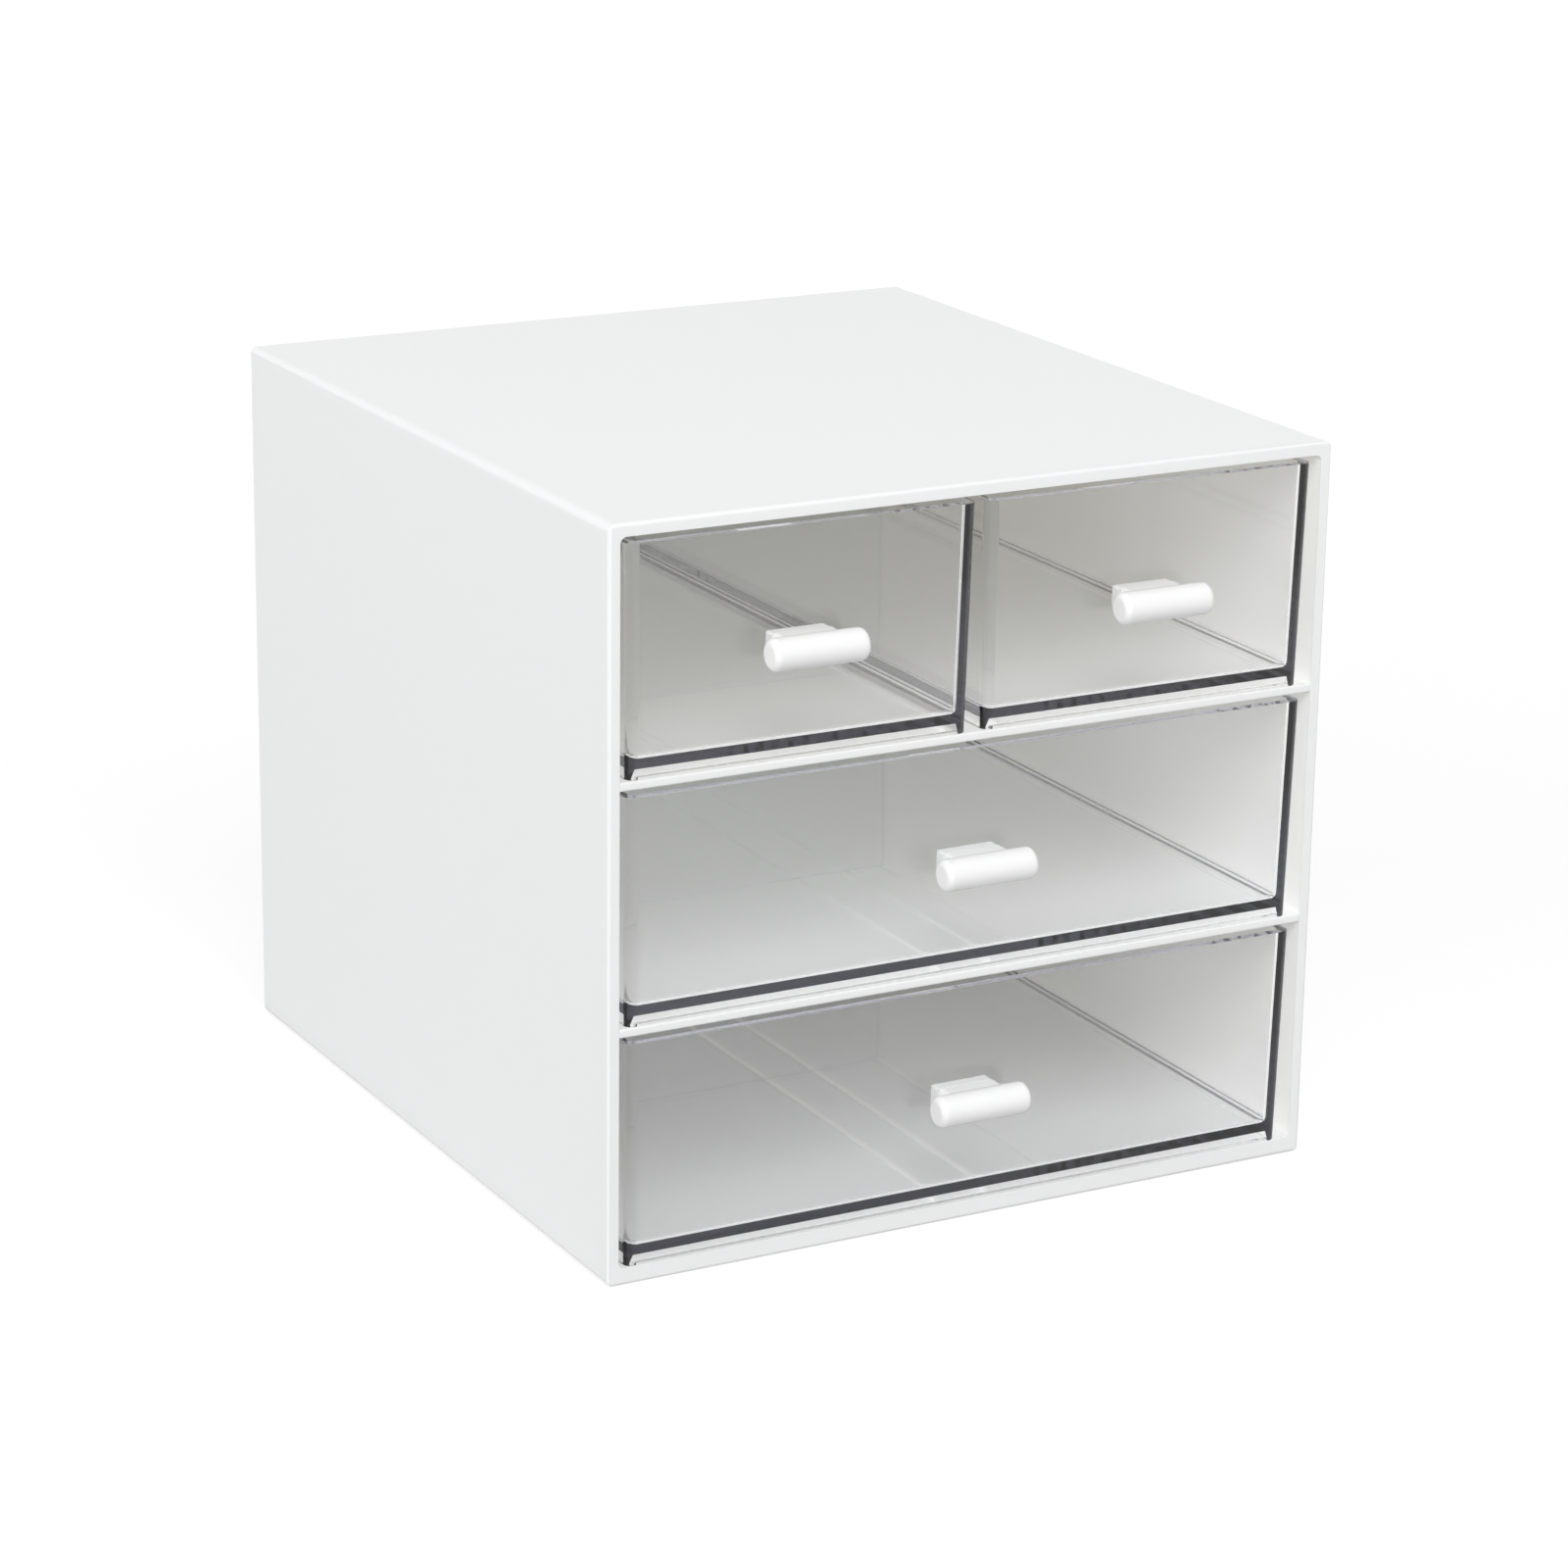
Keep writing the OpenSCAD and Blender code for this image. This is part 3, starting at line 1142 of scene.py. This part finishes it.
def main() -> None:
    """Builds the studio and the dressed cabinet."""
    logging.basicConfig(level=logging.INFO, format="%(levelname)s %(message)s")
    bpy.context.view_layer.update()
    Studio().build()
    effects = Effects()
    satin = WhitePlastic(
        name="cabinet_plastic_painted_glow",
        colour=(0.942, 0.947, 0.953),
        pale=(0.954, 0.959, 0.965),
        roughness=(0.34, 0.44),
        grain_scale=2500.0,
        grain_depth=0.00003,
        wear_width=0.0009,
    )
    # The walls and shelves carry a painted glow on their inner faces, warm on the walls and cool on the
    # shelves, which brightens the bays.
    walls = replace(satin, glow=0.09, painted_glow_colour=(1.0, 0.945, 0.76))
    shelf = replace(satin, name="shelf_plastic_painted_glow", glow=0.06, painted_glow_colour=(0.96, 0.99, 0.91))
    gloss = WhitePlastic(
        name="handle_plastic",
        colour=(0.960, 0.960, 0.963),
        pale=(0.970, 0.970, 0.973),
        roughness=(0.16, 0.24),
        grain_scale=900.0,
        grain_depth=0.00001,
        wear_width=0.0005,
    )
    clear = ClearPlastic("clear_plastic").material(effects)
    Cabinet(walls.material(effects), shelf.material(effects)).build()
    drawers = [ClearDrawer(bay, clear) for bay in Bay]
    for drawer in drawers:
        drawer.build()
    BarHandle(gloss.material(effects)).build(drawers)


if __name__ == "__main__":
    main()
